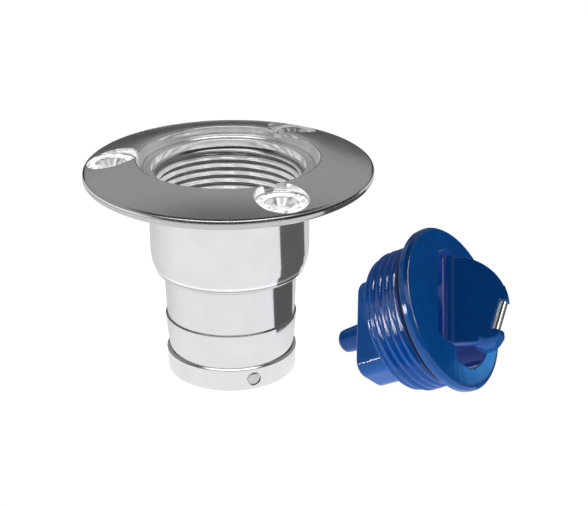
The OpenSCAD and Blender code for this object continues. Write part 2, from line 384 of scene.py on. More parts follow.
def build_flange():
    dome_outer, dome_inner = FLANGE_R - 0.9, 28.75
    dome_low, dome_high = 3.62, FLANGE_TOP - 0.03
    dome = []
    for k in range(1, 12):
        part = k / 12.0
        dome.append((dome_outer - part * (dome_outer - dome_inner),
                     dome_low + (dome_high - dome_low) * (1 - (1 - part) ** 1.35), 0.0))
    # (r, z, corner radius): underside, rim, dome, then the groove and lead-in of the bore
    upper = [
        (NECK_R, 0.0, 0.5), (FLANGE_R - 1.6, 0.0, 0.9), (FLANGE_R - 0.12, 1.1, 1.0),
        (FLANGE_R - 0.02, 2.3, 0.9), (FLANGE_R - 0.22, 3.2, 0.6), (dome_outer, dome_low, 0.9),
        *dome,
        (28.62, FLANGE_TOP - 0.02, 0.35), (27.95, 6.85, 0.5), (27.8, 4.1, 0.25),
        (26.25, 4.1, 0.12), (26.05, 3.8, 0.1), (25.2, 3.8, 0.1), (25.0, 4.1, 0.12),
        (LEAD_IN_R, 4.1, 0.45), (LEAD_IN_R, 1.75, 0.1), (BORE_MAJOR_R, BORE_THREAD_TOP, 0.0),
    ]
    # (r, z, corner radius): bore below the thread, end of the neck, outside of the neck
    lower = [
        (BORE_MINOR_R, BORE_THREAD_BOTTOM - 0.01, 0.0), (BORE_MINOR_R, NECK_END + 5.6, 0.6),
        (19.92, NECK_END + 4.0, 0.2), (19.92, NECK_END, 0.15), (21.4, NECK_END, 0.9),
        (23.1, NECK_END + 0.9, 1.8), (24.3, NECK_END + 4.6, 3.0), (NECK_R, NECK_END + 7.4, 3.0),
        (NECK_R, -0.4, 0.3), (NECK_R, 0.0, 0.0),
    ]
    thread = thread_run(BORE_MAJOR_R, BORE_THREAD_TOP, BORE_THREAD_BOTTOM)
    profile = fillet(upper)[:-1] + thread + fillet(lower)[:-1]
    flange = lathe("filler_flange", subdivide(profile, 3.0, closed=True), 288, flange_radius,
                   closed=True)
    # (r, z, corner radius) of a dished screw pocket with its hole
    pocket = [
        (0, -2, 0), (2.75, -2, 0), (2.75, 2.0, 0.2), (4.85, 3.98, 0.5), (7.5, 4.04, 0.3),
        (8.06, 4.5, 0.5), (8.1, 12, 0), (0, 12, 0),
    ]
    for angle in POCKET_ANGLES:
        cut(flange, lathe("cut", fillet(pocket), 96), Matrix.Translation(
            (POCKET_ORBIT * math.cos(angle), POCKET_ORBIT * math.sin(angle), 0)))
    return install(flange, FILLER_FRAME, "flange_body", "filler", sharp=36)


# ------------------------------------------------------------------ hose tail
def build_tail():
    top = NECK_END
    # (r, z, corner radius): upper end, outside with two barbs, lower end, bore
    profile = [
        (18.0, top + 3.6, 0.3), (19.4, top + 3.6, 0.1), (19.88, top + 3.1, 0.1),
        (19.88, top - 0.02, 0.1), (20.62, top - 0.02, 0.25), (20.35, top - 7.0, 3.0),
        (19.98, top - 14.15, 0.25), (20.53, top - 14.45, 0.22), (20.1, top - 19.5, 3.0),
        (19.5, top - 25.7, 0.25), (20.44, top - 26.0, 0.3), (20.2, top - 28.5, 2.0),
        (20.2, TAIL_END + 0.7, 0.5), (19.6, TAIL_END + 0.02, 0.5), (18.2, TAIL_END, 0.3),
        (18.0, TAIL_END + 0.5, 0.2), (18.0, top - 8.0, 0.0),
    ]
    tail = lathe("filler_tail", subdivide(fillet(profile), 2.5, closed=True), 256, closed=True)
    cut(tail, rod("cut", 2.24, -30, 30, segments=64), PIN_PLACE)
    return install(tail, FILLER_FRAME, "hose_tail", "filler", sharp=36)


def build_anchor_pin():
    """The rod across the tail, with slightly domed ends."""
    profile = [(0, -20.17, 0), (1.2, -20.13, 0), (2.04, -19.9, 0.25),
               (2.04, 19.9, 0.25), (1.2, 20.13, 0), (0, 20.17, 0)]
    pin = lathe("tail_anchor_pin", subdivide(fillet(profile, 5), 3.0), 48)
    pin.data.transform(PIN_PLACE)
    return install(pin, FILLER_FRAME, "anchor_pin", "filler", sharp=40)


# ------------------------------------------------------------------ cap moulding
def plug_radius(r, z, turn):
    top, bottom = PLUG_THREAD_TOP, PLUG_THREAD_BOTTOM
    if not on_thread(r, z, PLUG_MINOR_R, top, bottom):
        return r
    height = thread_height(z, turn, top, bottom, top_fade=0.9, bottom_fade=1.5)
    return PLUG_MINOR_R + (PLUG_MAJOR_R - PLUG_MINOR_R) * height


def well(grow):
    """Outline of the deep well, grown all round."""
    x0, x1, y0, y1 = -13.3 - grow, 16.8 + grow, -9.1 - grow, 4.6 + grow
    right_low, left_low, high = 3.0 + grow, 4.4 + grow, 4.6 + grow     # corner radii
    return (arc(x1 - right_low, y0 + right_low, right_low, -90, 0, 10)
            + arc(x1 - high, y1 - high, high, 0, 90, 14)
            + arc(x0 + high, y1 - high, high, 90, 180, 14)
            + arc(x0 + left_low, y0 + left_low, left_low, 180, 270, 12))


def in_tray(x, y):
    """The handle's tray; the ear for one end of the hinge pin stands in it at the +X side."""
    ear_x = 12.5
    if x * x + y * y > TRAY_R ** 2 or x < -18.3:
        return False
    return ((y > 1.0 and x < 17.2) or (y > -4 and x < ear_x) or (y > -9 and -13 < x < ear_x)
            or math.hypot(x + 13, y + 4) < 5)


def turned_cap():
    # (r, z, corner radius): face, rim and the seat of the seal
    head = [
        (0, 0, 0), (23.9, 0, 0), (CAP_R - 0.9, -0.06, 0.9), (CAP_R, -1.1, 0.9),
        (CAP_R, -2.9, 0.6), (CAP_R - 0.9, -3.42, 0.5), (21.8, -3.42, 0.15), (21.8, -4.75, 0.1),
        (PLUG_MINOR_R, PLUG_THREAD_TOP, 0.0),
    ]
    plug_end = [
        (PLUG_MINOR_R, PLUG_THREAD_BOTTOM - 0.01, 0.0), (21.3, PLUG_THREAD_BOTTOM - 0.25, 0.12),
        (21.3, -18.55, 0.35), (20.6, -19.0, 0.4), (19.0, -19.0, 0.0), (8.0, -19.0, 0.0),
        (0, -19.0, 0),
    ]
    thread = thread_run(PLUG_MINOR_R, PLUG_THREAD_TOP, PLUG_THREAD_BOTTOM)
    return lathe("cap_moulding", fillet(head)[:-1] + thread + fillet(plug_end, 5), 288,
                 plug_radius)


def add_boss(cap):
    """The box round the well, with a rounded lower edge and slightly drafted sides."""
    wall, rounding, bottom = 1.55, 1.1, -29.5
    layers = []
    for k in range(7):
        angle = math.radians(15 * k)
        layers.append((well(wall - rounding * (1 - math.sin(angle))),
                       bottom + rounding * (1 - math.cos(angle))))
    for z in (-26.0, -23.0, -20.0, -16.0, -9.0):
        layers.append((well(wall + 0.02 * (z + 28)), z))
    join(cap, loft("boss", layers))


def cut_tray(cap):
    outline = find_outline(in_tray, (0.0, 6.0), count=300, reach=40.0, halvings=26, easing=9)
    along = np.roll(outline, -1, 0) - np.roll(outline, 1, 0)
    outward = np.stack([along[:, 1], -along[:, 0]], -1)
    outward /= np.linalg.norm(outward, axis=1)[:, None]
    stations = [                                         # (growth, z)
        (-0.35, -15.0), (-0.1, -14.75), (0.0, -14.3), (0.0, -7.0), (0.0, -0.75),
        (0.07, -0.36), (0.22, -0.10), (0.38, 0.12), (0.39, 1.5),
    ]
    cut(cap, loft("cut", [([tuple(p) for p in outline + outward * grow], z)
                          for grow, z in stations]))


def build_cap():
    cap = turned_cap()
    add_boss(cap)
    cut_tray(cap)
    well_stations = [                                    # (growth, z)
        (-0.8, -27.3), (-0.3, -27.15), (0.0, -26.7), (0.0, -20.0),
        (0.0, -15.3), (0.25, -15.02), (0.26, -14.6),
    ]
    cut(cap, loft("cut", [(well(grow), z) for grow, z in well_stations]))
    # cored-out -Y side of the plug, open at its bottom
    core = [(x, min(y, -10.9)) for x, y in arc(0, 0, 18.9, 212, 328, 40)]
    core_end = [(x * 0.985, y * 0.985 - 0.05) for x, y in core]
    cut(cap, loft("cut", [(core, -20.5), (core, -8.0), (core_end, -7.6)]))
    cut(cap, rod("cut", 1.22, -22.6, 22.6), HINGE_PLACE)
    cut(cap, rod("cut", 2.6, -31.0, -24.0))              # hole for the stud
    return install(cap, CAP_FRAME, "cap_body", "cap", sharp=34)


# ------------------------------------------------------------------ seal ring, stud, rods
def build_seal():
    angles = [2 * PI * k / 28 for k in range(28)]
    section = [(22.92 + 1.1 * math.cos(angle), -4.53 + 1.08 * math.sin(angle))
               for angle in angles]
    seal = lathe("cap_o_ring", section, 220, closed=True)
    return install(seal, CAP_FRAME, "cap_seal", "cap", sharp=60, weighted=False)


def build_stud():
    """The turned stud below the boss, with a waist in the boss's floor."""
    profile = [                                          # (r, z, corner radius)
        (0, -42.6, 0), (2.3, -42.5, 1.2), (3.62, -41.3, 1.2), (3.85, -39.0, 1.0),
        (4.3, -32.0, 0.3), (4.42, -31.6, 0.25), (4.42, -29.6, 0.2), (2.53, -29.57, 0.1),
        (2.53, -27.22, 0.1), (3.28, -27.22, 0.2), (3.28, -26.6, 0.2), (2.4, -25.3, 0.4),
        (0, -25.3, 0),
    ]
    stud = lathe("swivel_stud_turned", fillet(profile), 96)
    return install(stud, CAP_FRAME, "swivel_stud", "swivel", sharp=36)


def build_hinge_pin():
    pin = rod("hinge_pin_rod", ROD_R, -22.35, 22.35, rounding=0.28)
    pin.data.transform(HINGE_PLACE)
    return install(pin, CAP_FRAME, "hinge_pin", "cap", sharp=50)


def build_grip_bar():
    bar = rod("grip_bar_rod", ROD_R, -7.5, 7.5, rounding=0.2)
    bar.data.transform(GRIP_PLACE)
    return install(bar, HANDLE_FRAME, "grip_bar", "handle", sharp=50)


# ------------------------------------------------------------------ handle
def handle_outline():
    """Half-round plate with the notch under the bar, counter-clockwise from the hinge."""
    outline = [(-17.45, 0.0), (12.2, 0.0)]
    outline += [(12.2, y) for y in np.linspace(1.6, 8.0, 5)]
    outline += [(11.9, 8.7), (11.2, 9.3), (10.5, 10.0)]
    # notch: from the lug to the thick rim, set back from the bar
    notch_angle = math.radians(164.4)
    along = Vector((math.cos(notch_angle), math.sin(notch_angle)))
    inward = Vector((-along.y, along.x))
    lug_end = Vector((9.9, 12.0)) + along * 0.9
    rim_end = Vector((9.9, 12.0)) + along * 12.5
    outline += [(lug_end.x + 1.2, lug_end.y - 0.9), (lug_end.x, lug_end.y)]
    outline += [tuple(lug_end + (rim_end - lug_end) * k / 6) for k in range(1, 7)]
    # out along the notch's far wall to the rim
    steps = (rim_end - inward * (k * 0.05) for k in range(200))
    rim_point = next(point for point in steps if point.length > HANDLE_R)
    outline += [tuple(rim_end + (rim_point - rim_end) * part) for part in (0.5, 1.0)]
    start = math.degrees(math.atan2(rim_point.y, rim_point.x)) + 3.8
    end = 180 - math.degrees(math.asin(5.2 / HANDLE_R))
    outline += arc(0, 0, HANDLE_R, start, end, 36)
    return outline + [(-17.45, 4.2), (-17.45, 2.0)]


def add_rim(plate):
    """Thick rim that carries the bar's far end."""
    limit = HANDLE_R + 0.25
    outline = []
    for x, y in [(-7.6, 14.4), (-2.6, 14.4), (-2.3, 15.2), (-2.2, 19), (-4.5, 19), (-7.6, 19)]:
        distance = math.hypot(x, y)
        if distance > limit:
            x, y = x * limit / distance, y * limit / distance
        outline.append((x, y))
    join(plate, rounded_plate("rim", outline, -2.5, 1.32, 0.35))


# Plan regions of the lug that carries the bar's near end.
LUG_LIMIT = 18.5


def in_collar(x, y):
    return (math.hypot(x - 10.3, y - 10.8) < 2.6 or math.hypot(x - 10.0, y - 13.2) < 2.5
            or (9.0 < x < 12.2 and 7.6 < y < 13)) and math.hypot(x, y) < LUG_LIMIT


def in_shoulder(x, y):
    return in_collar(x, y) or (math.hypot(x - 8.6, y - 14.4) < 2.4
                               and math.hypot(x, y) < LUG_LIMIT)


def in_stem(x, y):
    return (math.hypot(x - 9.6, y - 10.4) < 2.1 or math.hypot(x - 9.2, y - 11.8) < 2.1
            or math.hypot(x - 7.6, y - 13.3) < 1.9)


def lug_section(outline, shrink, z):
    """Scales an outline in, then leans its +X side towards -X as z rises."""
    lean = 1.0 if z < -3.2 else 0.42 + 0.58 * math.sqrt(1 - ((z + 3.2) / 5.0) ** 2)
    centre = outline.mean(0)
    points = centre + (outline - centre) * (1 - shrink / 3.0)
    x_low = points[:, 0].min()
    return [(x_low + (x - x_low) * lean, y) for x, y in points]


def add_lug(plate):
    collar = find_outline(in_collar, (9.8, 12.0))
    shoulder = find_outline(in_shoulder, (9.8, 12.0))
    stem = find_outline(in_stem, (8.9, 11.9))
    stations = [                                         # (outline, shrink, z)
        (stem, 0.9, -8.4), (stem, 0.35, -8.28), (stem, 0.05, -7.9), (stem, 0.0, -6.0),
        (stem, 0.0, -5.2), (stem, 0.0, -5.02), (shoulder, 0.55, -4.98), (shoulder, 0.15, -4.85),
        (shoulder, 0.0, -4.5), (shoulder, 0.0, -4.0), (shoulder, 0.0, -3.2),
        (shoulder, 0.0, -2.7), (shoulder, 0.0, -2.4), (shoulder, 0.2, -2.2), (collar, 0.0, -2.1),
        *[(collar, 0.0, z) for z in np.linspace(-1.6, 0.9, 9)],
        (collar, 0.12, 1.2),
    ]
    layers = [(lug_section(*station), station[2]) for station in stations]
    layers.append((lug_section(collar, 0.45, 1.4), 1.45))    # leans as at 1.4, ends at 1.45
    join(plate, loft("lug", layers))


def build_handle():
    plate = rounded_plate("handle", handle_outline(), -1.1, 1.3, 0.34)
    add_rim(plate)
    add_lug(plate)
    join(plate, rod("knuckle", 2.0, -18.1, 12.17, rounding=0.35, segments=60), ALONG_X)
    cut(plate, rod("cut", 1.25, -20, 20), ALONG_X)
    cut(plate, rod("cut", 1.215, -7.62, 7.62), GRIP_PLACE)
    return install(plate, HANDLE_FRAME, "handle_plate", "handle", sharp=34)


# ------------------------------------------------------------------ shader tools
def rgba(shade):
    """A grey level or an (r, g, b) as a full colour."""
    return (*shade, 1) if isinstance(shade, tuple) else (shade, shade, shade, 1)


class Value:
    """A node's output; arithmetic and comparison on it add Math nodes."""

    def __init__(self, shader, socket):
        self.shader, self.socket = shader, socket

    def math(self, operation, other=None, clamp=False):
        return self.shader.math(operation, self, other, clamp)

    def __add__(self, other):
        return self.math("ADD", other)

    def __sub__(self, other):
        return self.math("SUBTRACT", other)

    def __rsub__(self, other):
        return self.shader.math("SUBTRACT", other, self)

    def __mul__(self, other):
        return self.math("MULTIPLY", other)

    def __truediv__(self, other):
        return self.math("DIVIDE", other)

    def __lt__(self, other):
        return self.math("LESS_THAN", other)

    def __gt__(self, other):
        return self.math("GREATER_THAN", other)


class Shader:
    """Adds nodes to a material or world; inputs are Values or plain values, lengths metres."""

    def __init__(self, owner):
        owner.use_nodes = True
        self.owner, self.tree = owner, owner.node_tree
        self.tree.nodes.clear()

    def node(self, kind, inputs=None, **settings):
        node = self.tree.nodes.new(kind)
        for name, setting in settings.items():
            setattr(node, name, setting)
        for key, value in (inputs or {}).items():
            if isinstance(value, Value):
                self.tree.links.new(value.socket, node.inputs[key])
            else:
                node.inputs[key].default_value = value
        return node

    def values(self, kind, outputs, inputs=None):
        node = self.node(kind, inputs)
        return [Value(self, node.outputs[key]) for key in outputs]

    def value(self, kind, output=0, inputs=None, **settings):
        return Value(self, self.node(kind, inputs, **settings).outputs[output])

    def math(self, operation, first, second=None, clamp=False):
        inputs = {0: first} if second is None else {0: first, 1: second}
        return self.value("ShaderNodeMath", 0, inputs, operation=operation, use_clamp=clamp)

    def position(self):
        return self.value("ShaderNodeTexCoord", "Object")

    def split(self, vector):
        return self.values("ShaderNodeSeparateXYZ", (0, 1, 2), {0: vector})

    def mapping(self, vector, scale=(1.0, 1.0, 1.0), rotation=(0.0, 0.0, 0.0)):
        return self.value("ShaderNodeMapping", 0, {
            "Vector": vector, "Scale": scale, "Rotation": rotation})

    def noise(self, vector, scale, detail, rough):
        return self.value("ShaderNodeTexNoise", "Fac", {
            "Vector": vector, "Scale": scale, "Detail": detail, "Roughness": rough})

    def voronoi(self, vector, scale, feature):
        return self.value("ShaderNodeTexVoronoi", "Distance",
                          {"Vector": vector, "Scale": scale}, feature=feature)

    def ramp(self, source, *stops):
        """Stops are (position, grey level or colour)."""
        node = self.node("ShaderNodeValToRGB", {0: source})
        elements = node.color_ramp.elements
        while len(elements) < len(stops):
            elements.new(0.5)
        for element, (position, shade) in zip(elements, stops):
            element.position = position
            element.color = rgba(shade)
        return Value(self, node.outputs[0])

    def mix(self, factor, first, second, blend="MIX"):
        factor_in, first_in, second_in, colour_out = 0, 6, 7, 2    # the node's colour sockets
        return self.value("ShaderNodeMix", colour_out,
                          {factor_in: factor, first_in: first, second_in: second},
                          data_type="RGBA", blend_type=blend)

    def darken(self, colour, mask, shade):
        """Multiplies the colour by the shade where the mask is one."""
        return self.mix(mask, colour, self.mix(1.0, colour, shade, "MULTIPLY"))

    def bevel(self):
        return self.value("ShaderNodeBevel", 0, {"Radius": 0.00022}, samples=4)

    def bump(self, height, strength, distance, normal=None):
        inputs = {"Height": height, "Strength": strength, "Distance": distance}
        if normal is not None:
            inputs["Normal"] = normal
        return self.value("ShaderNodeBump", 0, inputs)

    def surface(self, inputs):
        """Closes the material with a Principled BSDF."""
        surface = self.value("ShaderNodeBsdfPrincipled", 0, inputs)
        self.node("ShaderNodeOutputMaterial", {"Surface": surface})
        return self.owner


def new_shader(name):
    return Shader(bpy.data.materials.new(name))


def length(x, y):
    return (x * x + y * y).math("SQRT")


def towards_camera(x, y):
    """Horizontal component in the direction of the camera."""
    return x * 0.574 + y * -0.819


# ------------------------------------------------------------------ polished steel
def nearest_pocket(x, y):
    """Distance from the axis of the nearest screw pocket."""
    nearest = None
    for angle in POCKET_ANGLES:
        dx = x - POCKET_ORBIT / 1000 * math.cos(angle)
        dy = y - POCKET_ORBIT / 1000 * math.sin(angle)
        distance = length(dx, dy)
        nearest = distance if nearest is None else nearest.math("MINIMUM", distance)
    return nearest


def darken_flange(shader, colour, radius, z):
    # painted shade in the roots of the thread; ramp from r 21.3 mm over 1.67 mm
    groove = shader.ramp((radius - 0.0213) * 600.0,
                         (0.0, 1), (0.45, 1), (0.66, 0.42), (0.93, 0.38), (1.0, 1))
    colour = shader.darken(colour, (radius < 0.02295) * (z > -0.0135), groove)
    # painted shade lines and a painted grey reflection band round the rim; ramp from z 0 over 4
    # mm
    rim_reflection_bands = shader.ramp(z * 250.0, (0.0, 1), (0.10, 1), (0.14, 0.45), (0.19, 0.74),
                       (0.53, 0.74), (0.58, 0.40), (0.63, 1), (1.0, 1))
    colour = shader.darken(colour, radius > 0.0431, rim_reflection_bands)
    # painted shade lines at the crease round the foot of the neck, and a painted grey reflection
    # band on the lip under it; ramp over 4 mm
    foot = shader.ramp((z - (NECK_END - 0.5) * 0.001) * 250.0,
                       (0.0, 1), (0.115, 1), (0.125, 0.45), (0.165, 0.45), (0.185, 0.88),
                       (0.555, 0.88), (0.580, 0.45), (0.625, 0.45), (0.650, 1), (1.0, 1))
    return shader.darken(colour, radius > 0.0203, foot)


def darken_tail(shader, colour, radius, z):
    # painted shade lines in the corners of the two barbs; ramp over the top 28.5 mm
    barbs = shader.ramp((z - (NECK_END - 28.5) * 0.001) / 0.0285,
                        (0.0, 1), (0.0825, 1), (0.084, 0.5), (0.0877, 0.5), (0.0895, 1),
                        (0.0965, 1), (0.098, 0.5), (0.1018, 0.5), (0.1035, 1), (0.490, 1),
                        (0.4935, 0.42), (0.503, 0.42), (0.506, 1), (1.0, 1))
    return shader.darken(colour, radius > 0.0186, barbs)


def seat_mask(shader, in_pocket, pocket_r, y):
    """Painted light on the pocket floors, in rings by distance from the screw axis, ramped over
    10 mm.
    """
    rings = shader.ramp(pocket_r * 100.0,
                        (0.0, 0.10), (0.27, 0.12), (0.29, 0.55), (0.47, 0.5), (0.49, 0.10),
                        (0.52, 1), (0.755, 1), (0.785, 0.12), (1.0, 0.0))
    # the painted light is weaker on the pocket on the far +Y side
    full_side = (y < 0.010) * 0.75 + 0.25                # the +Y pocket gets a quarter
    return in_pocket * rings * full_side


def flange_glow(shader, position, radius, turning, cloud, seat, top_face):
    """Light that has gone round the bright bore and the dished screw seats many times over,
    more often than the renderer follows it."""
    in_bore = radius < 0.02795
    by_radius = shader.ramp((radius - 0.0195) * 115.0,   # from r 19.5 mm over 8.7 mm
                            (0.0, 0.12), (0.20, 0.32), (0.27, 0.30), (0.335, 0.03), (0.385, 0.0),
                            (0.455, 0.0), (0.47, 0.24), (0.485, 0.24), (0.50, 0.02),
                            (0.90, 0.02), (0.935, 0.16), (1.0, 0.16))
    streak = shader.ramp(turning, (0.25, 0.75), (0.75, 1.2))
    cloudy = shader.ramp(cloud, (0.3, 0.75), (0.7, 1.1))
    glow = by_radius * in_bore * (streak * cloudy)
    # painted highlights on the floor of the screw seats, streaked like tool marks
    stretched = shader.mapping(position, scale=(1.0, 0.35, 0.6), rotation=(0.0, 0.0, 0.9))
    seat_streak_noise = shader.noise(stretched, scale=420.0, detail=2.5, rough=0.55)
    seat_highlights = shader.ramp(seat_streak_noise, (0.30, 0.16), (0.41, 0.40), (0.46, 0.85), (0.58, 0.85),
                        (0.62, 0.28), (0.68, 0.75))
    # the outer top face glows faintly too: painted light
    top_glow = 0.035
    return glow + seat_highlights * seat + top_face * top_glow


def polished_steel(name, is_flange):
    base = (0.81, 0.81, 0.815)
    grain = 1.0 if is_flange else 0.0                    # grain on the top face
    shader = new_shader(name)
    position = shader.position()
    x, y, z = shader.split(position)
    radius = length(x, y)
    # turning lines left under the polish: they change across the radius and the height only
    radius_height = shader.value("ShaderNodeCombineXYZ", 0, {0: radius, 1: z})
    turning = shader.noise(radius_height, scale=5200.0, detail=2.0, rough=0.6)
    cloud = shader.noise(position, scale=95.0, detail=4.0, rough=0.6)
    fine = shader.noise(position, scale=2600.0, detail=2.0, rough=0.7)
    wave = shader.noise(position, scale=42.0, detail=2.0, rough=0.5)
    # the outer top face is left with a fine grain
    top_face = (z > 0.0034) * (radius > 0.0281) * (radius < 0.0437)
    if is_flange:
        pocket_r = nearest_pocket(x, y)
        in_pocket = (pocket_r < 0.00812) * (z > 0.0003)
        seat = seat_mask(shader, in_pocket, pocket_r, y)
        top_face = top_face * (1.0 - in_pocket)
    stretched = shader.mapping(position, scale=(0.25, 1.6, 1.0), rotation=(0.0, 0.0, 0.6))
    edges = shader.voronoi(stretched, scale=230.0, feature="DISTANCE_TO_EDGE")
    scratches = shader.ramp(edges, (0.0, 1), (0.012, 0), (1.0, 0))
    cells = shader.voronoi(position, scale=120.0, feature="F1")
    nicks = shader.ramp(cells, (0.0, 1), (0.035, 0.9), (0.06, 0), (1.0, 0))

    tone = shader.ramp(cloud, (0.3, tuple(v * 0.93 for v in base)), (0.7, base))
    grainy = shader.ramp(fine, (0.35, 0.80), (0.65, 1.0))
    grain_amount, nick_amount = 0.75 * grain, 0.8
    colour = shader.mix(top_face * grain_amount, tone, grainy, "MULTIPLY")
    colour = shader.mix(nicks * top_face * nick_amount, colour, rgba(0.96))
    # painted shade lines and painted reflection bands on the steel
    darken = darken_flange if is_flange else darken_tail
    colour = darken(shader, colour, radius, z)

    scratch_rough, top_rough = 0.10, 0.15                # added to the polish's roughness
    polish = shader.ramp(cloud, (0.25, 0.055), (0.75, 0.125))
    normal = shader.bump(turning, strength=0.10, distance=0.00002, normal=shader.bevel())
    normal = shader.bump(wave, strength=0.35, distance=0.00012, normal=normal)
    normal = shader.bump(fine, strength=top_face * (0.45 * grain), distance=0.00002,
                         normal=normal)
    inputs = {
        "Base Color": colour,
        "Metallic": 1.0,
        "Roughness": polish + scratches * scratch_rough + top_face * top_rough,
        "Normal": normal,
    }
    if is_flange:
        inputs["Emission Color"] = rgba(1)
        inputs["Emission Strength"] = flange_glow(shader, position, radius, turning, cloud,
                                                  seat, top_face)
    return shader.surface(inputs)


# ------------------------------------------------------------------ other materials
def drawn_steel(name, rod_frame, dark=0.80, light=0.88):
    """Drawn rod: lines along its own length, found from the rod's own axis."""
    shader = new_shader(name)
    position = shader.position()
    turn = rod_frame.to_3x3().normalized().inverted().to_euler("XYZ")
    in_rod = shader.mapping(position, rotation=(turn.x, turn.y, turn.z))
    stretched = shader.mapping(in_rod, scale=(1.0, 1.0, 0.03))
    lines = shader.noise(stretched, scale=4200.0, detail=2.0, rough=0.6)
    cloud = shader.noise(position, scale=260.0, detail=3.0, rough=0.6)
    return shader.surface({
        "Base Color": shader.ramp(cloud, (0.3, (dark, dark + 0.005, dark + 0.015)),
                                  (0.7, (light, light + 0.005, light + 0.015))),
        "Metallic": 1.0,
        "Roughness": shader.ramp(lines, (0.3, 0.05), (0.7, 0.13)),
        "Normal": shader.bump(lines, strength=0.25, distance=0.00003),
    })


def blue_plastic(name, base, edge, smooth, rough):
    """Glossy moulding, paler and rougher along its sharpest convex edges; smooth and rough bound
    its roughness.
    """
    shader = new_shader(name)
    position = shader.position()
    flow_space = shader.mapping(position, scale=(1.0, 2.4, 0.8), rotation=(0.4, 0.3, 0.9))
    flow = shader.noise(flow_space, scale=120.0, detail=4.0, rough=0.6)
    peel = shader.noise(position, scale=900.0, detail=2.0, rough=0.5)
    dust = shader.noise(position, scale=4200.0, detail=1.0, rough=0.5)
    broad = shader.noise(position, scale=60.0, detail=2.0, rough=0.5)
    pointiness = shader.value("ShaderNodeNewGeometry", "Pointiness")
    sharp_edge_mask = (shader.ramp(pointiness, (0.0, 0), (0.53, 0), (0.60, 1), (1.0, 1))
            * shader.ramp(flow, (0.42, 0.1), (0.62, 1.0)))
    tone = shader.ramp(flow, (0.3, tuple(v * 0.86 for v in base)),
                       (0.7, tuple(v * 1.10 for v in base)))
    edge_colour_amount, edge_rough_amount = 0.45, 0.12                 # how far the sharp-edge mask shows in each
    normal = shader.bump(peel, strength=0.30, distance=0.00006, normal=shader.bevel())
    normal = shader.bump(dust, strength=0.12, distance=0.00001, normal=normal)
    normal = shader.bump(broad, strength=0.30, distance=0.00020, normal=normal)
    return shader.surface({
        "Base Color": shader.mix(sharp_edge_mask * edge_colour_amount, tone, rgba(edge)),
        "IOR": 1.42,
        "Roughness": shader.ramp(broad, (0.3, smooth), (0.7, rough)) + sharp_edge_mask * edge_rough_amount,
        # the moulding glows faintly: painted light that lifts its shade, so it never goes black
        "Emission Color": (0.0, 0.19, 0.80, 1),
        "Emission Strength": 0.050,
        "Normal": normal,
    })


def rubber(name):
    shader = new_shader(name)
    mottle = shader.noise(shader.position(), scale=700.0, detail=4.0, rough=0.6)
    return shader.surface({
        "Base Color": shader.ramp(mottle, (0.3, (0.0005, 0.018, 0.085)),
                                  (0.7, (0.001, 0.030, 0.130))),
        "Roughness": shader.ramp(mottle, (0.3, 0.38), (0.7, 0.55)),
        "Specular IOR Level": 0.12,
        "Normal": shader.bump(mottle, strength=0.35, distance=0.00004),
    })


def floor_white(name):
    """White floor whose brightness in mirrors rises towards the camera."""
    shader = new_shader(name)
    position = shader.position()
    mottle = shader.noise(position, scale=3.0, detail=2.0, rough=0.5)
    camera_ray, glossy_ray = shader.values("ShaderNodeLightPath",
                                           ("Is Camera Ray", "Is Glossy Ray"))
    x, y, _ = shader.split(position)
    facing = towards_camera(x, y) / (length(x, y) + 0.001)    # -1 away .. 1 towards
    mirrored = shader.ramp((facing + 1.0) * 0.5, (0.0, 0.58), (0.12, 0.66), (0.42, 0.86),
                           (0.62, 0.93), (1.0, 0.93))
    direct = camera_ray * 0.16 + 0.84                    # 1.0 to the camera, 0.84 otherwise
    return shader.surface({
        "Base Color": shader.ramp(mottle, (0.3, 0.24), (0.7, 0.27)),
        "Roughness": 0.9,
        "Specular IOR Level": 0.1,
        "Emission Color": rgba(1),
        "Emission Strength": mirrored * glossy_ray + direct * (1.0 - glossy_ray),
    })


# ------------------------------------------------------------------ stage, metres
FLOOR_Z = TAIL_END / 1000.0 - 0.00003
HEADING = Matrix.Rotation(math.radians(35), 3, "Z")      # turns +Y to the camera's heading
CAP_MIDDLE = Vector((0.062, 0.020, -0.036))


def build_floor():
    bpy.ops.mesh.primitive_plane_add(size=6.0, location=(0, 0, FLOOR_Z))
    floor = bpy.context.object
    floor.name = "floor"
    floor.data.materials.append(floor_white("floor_white"))


def build_camera():
    pitch, yaw, roll = math.radians(23.08), math.radians(2.28), math.radians(-0.16)
    forward = Vector((math.sin(yaw) * math.cos(pitch), math.cos(yaw) * math.cos(pitch),
                      -math.sin(pitch)))
    right = Vector((math.cos(yaw), -math.sin(yaw), 0))
    up = right.cross(forward)
    right, up = (right * math.cos(roll) + up * math.sin(roll),
                 up * math.cos(roll) - right * math.sin(roll))
    position = HEADING @ Vector((0, -0.5, 0.184)) + Vector((0, 0, 0.0036))
    data = bpy.data.cameras.new("camera")
    data.sensor_width = 36.0
    data.sensor_fit = "HORIZONTAL"
    data.lens = 106.836735
    data.clip_start, data.clip_end = 0.01, 20.0
    camera = bpy.data.objects.new("camera", data)
    scene.collection.objects.link(camera)
    camera.matrix_world = basis(HEADING @ right, HEADING @ up, -(HEADING @ forward), position)
    scene.camera = camera


def mirror_card(name, verts, faces, colour, strength):
    """A glowing sheet that only mirror-like reflections see."""
    card = new_object(name, verts, faces)
    shader = new_shader(name)
    emission = shader.value("ShaderNodeEmission", 0,
                            {"Color": rgba(colour), "Strength": strength})
    shader.node("ShaderNodeOutputMaterial", {"Surface": emission})
    card.data.materials.append(shader.owner)
    card.visible_camera = False
    card.visible_diffuse = False
    card.visible_shadow = False
    card.visible_transmission = False


def polar(radius, degrees, z):
    angle = math.radians(degrees)
    return (radius * math.cos(angle), radius * math.sin(angle), z)


